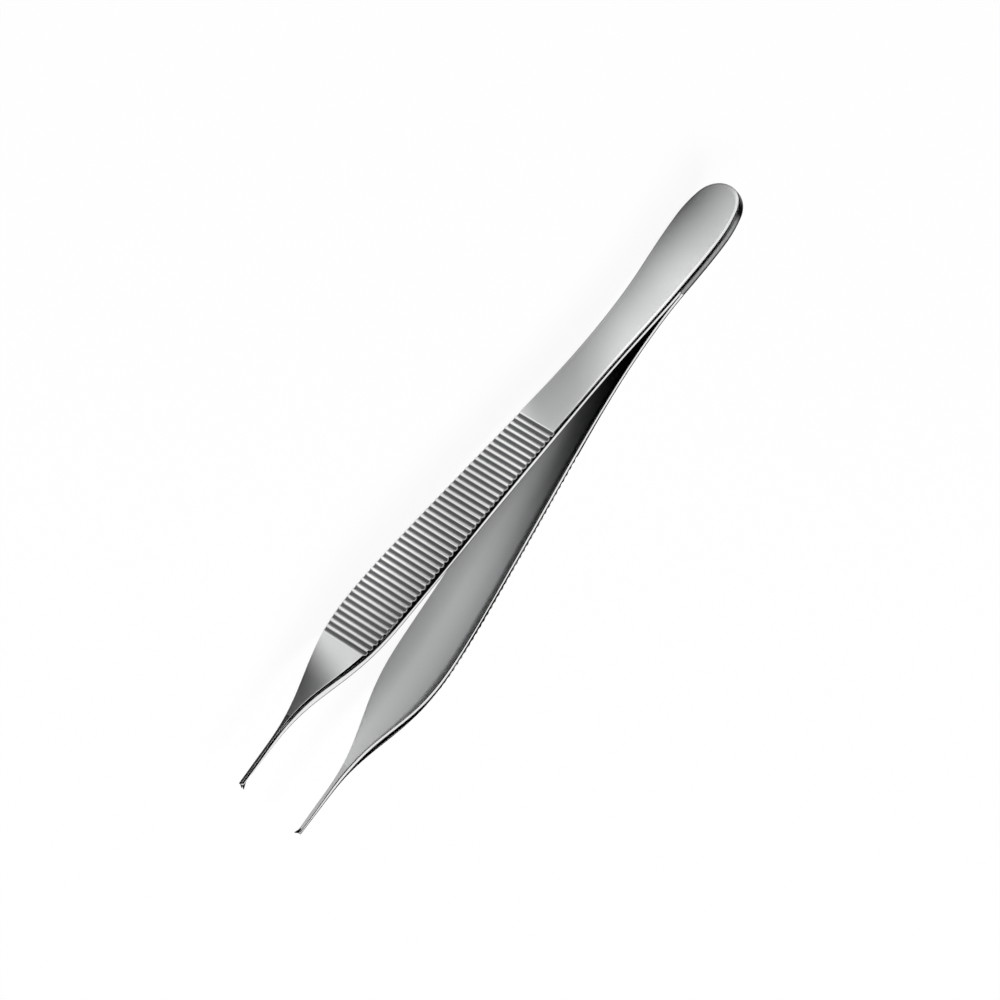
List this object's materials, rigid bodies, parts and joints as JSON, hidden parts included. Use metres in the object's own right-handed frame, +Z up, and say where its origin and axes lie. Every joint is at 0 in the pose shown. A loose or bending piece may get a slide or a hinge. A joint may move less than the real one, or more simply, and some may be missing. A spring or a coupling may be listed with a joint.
{
  "type": "tissue forceps",
  "caption": "Thumb forceps for holding tissue, with broad ribbed plates, slender noses and interlocking teeth at the tips, its spring leaves welded together at the head.",
  "frame": {"origin": "centre of the bottom of the part's box, on the surface that the forceps lies on", "axes": "+X from the head to the tips, +Y across the opening from the arm with two teeth to the arm with one, +Z up, along the width of the leaves"},
  "size_m": [0.12, 0.0198, 0.0114],
  "materials": {
    "satin_steel": "fine satin",
    "weld_steel": "ground and polished"
  },
  "bodies": {
    "root": {"arm_one_tooth": "satin_steel", "arm_two_teeth": "satin_steel", "head_weld": "weld_steel"}
  },
  "joints": []
}
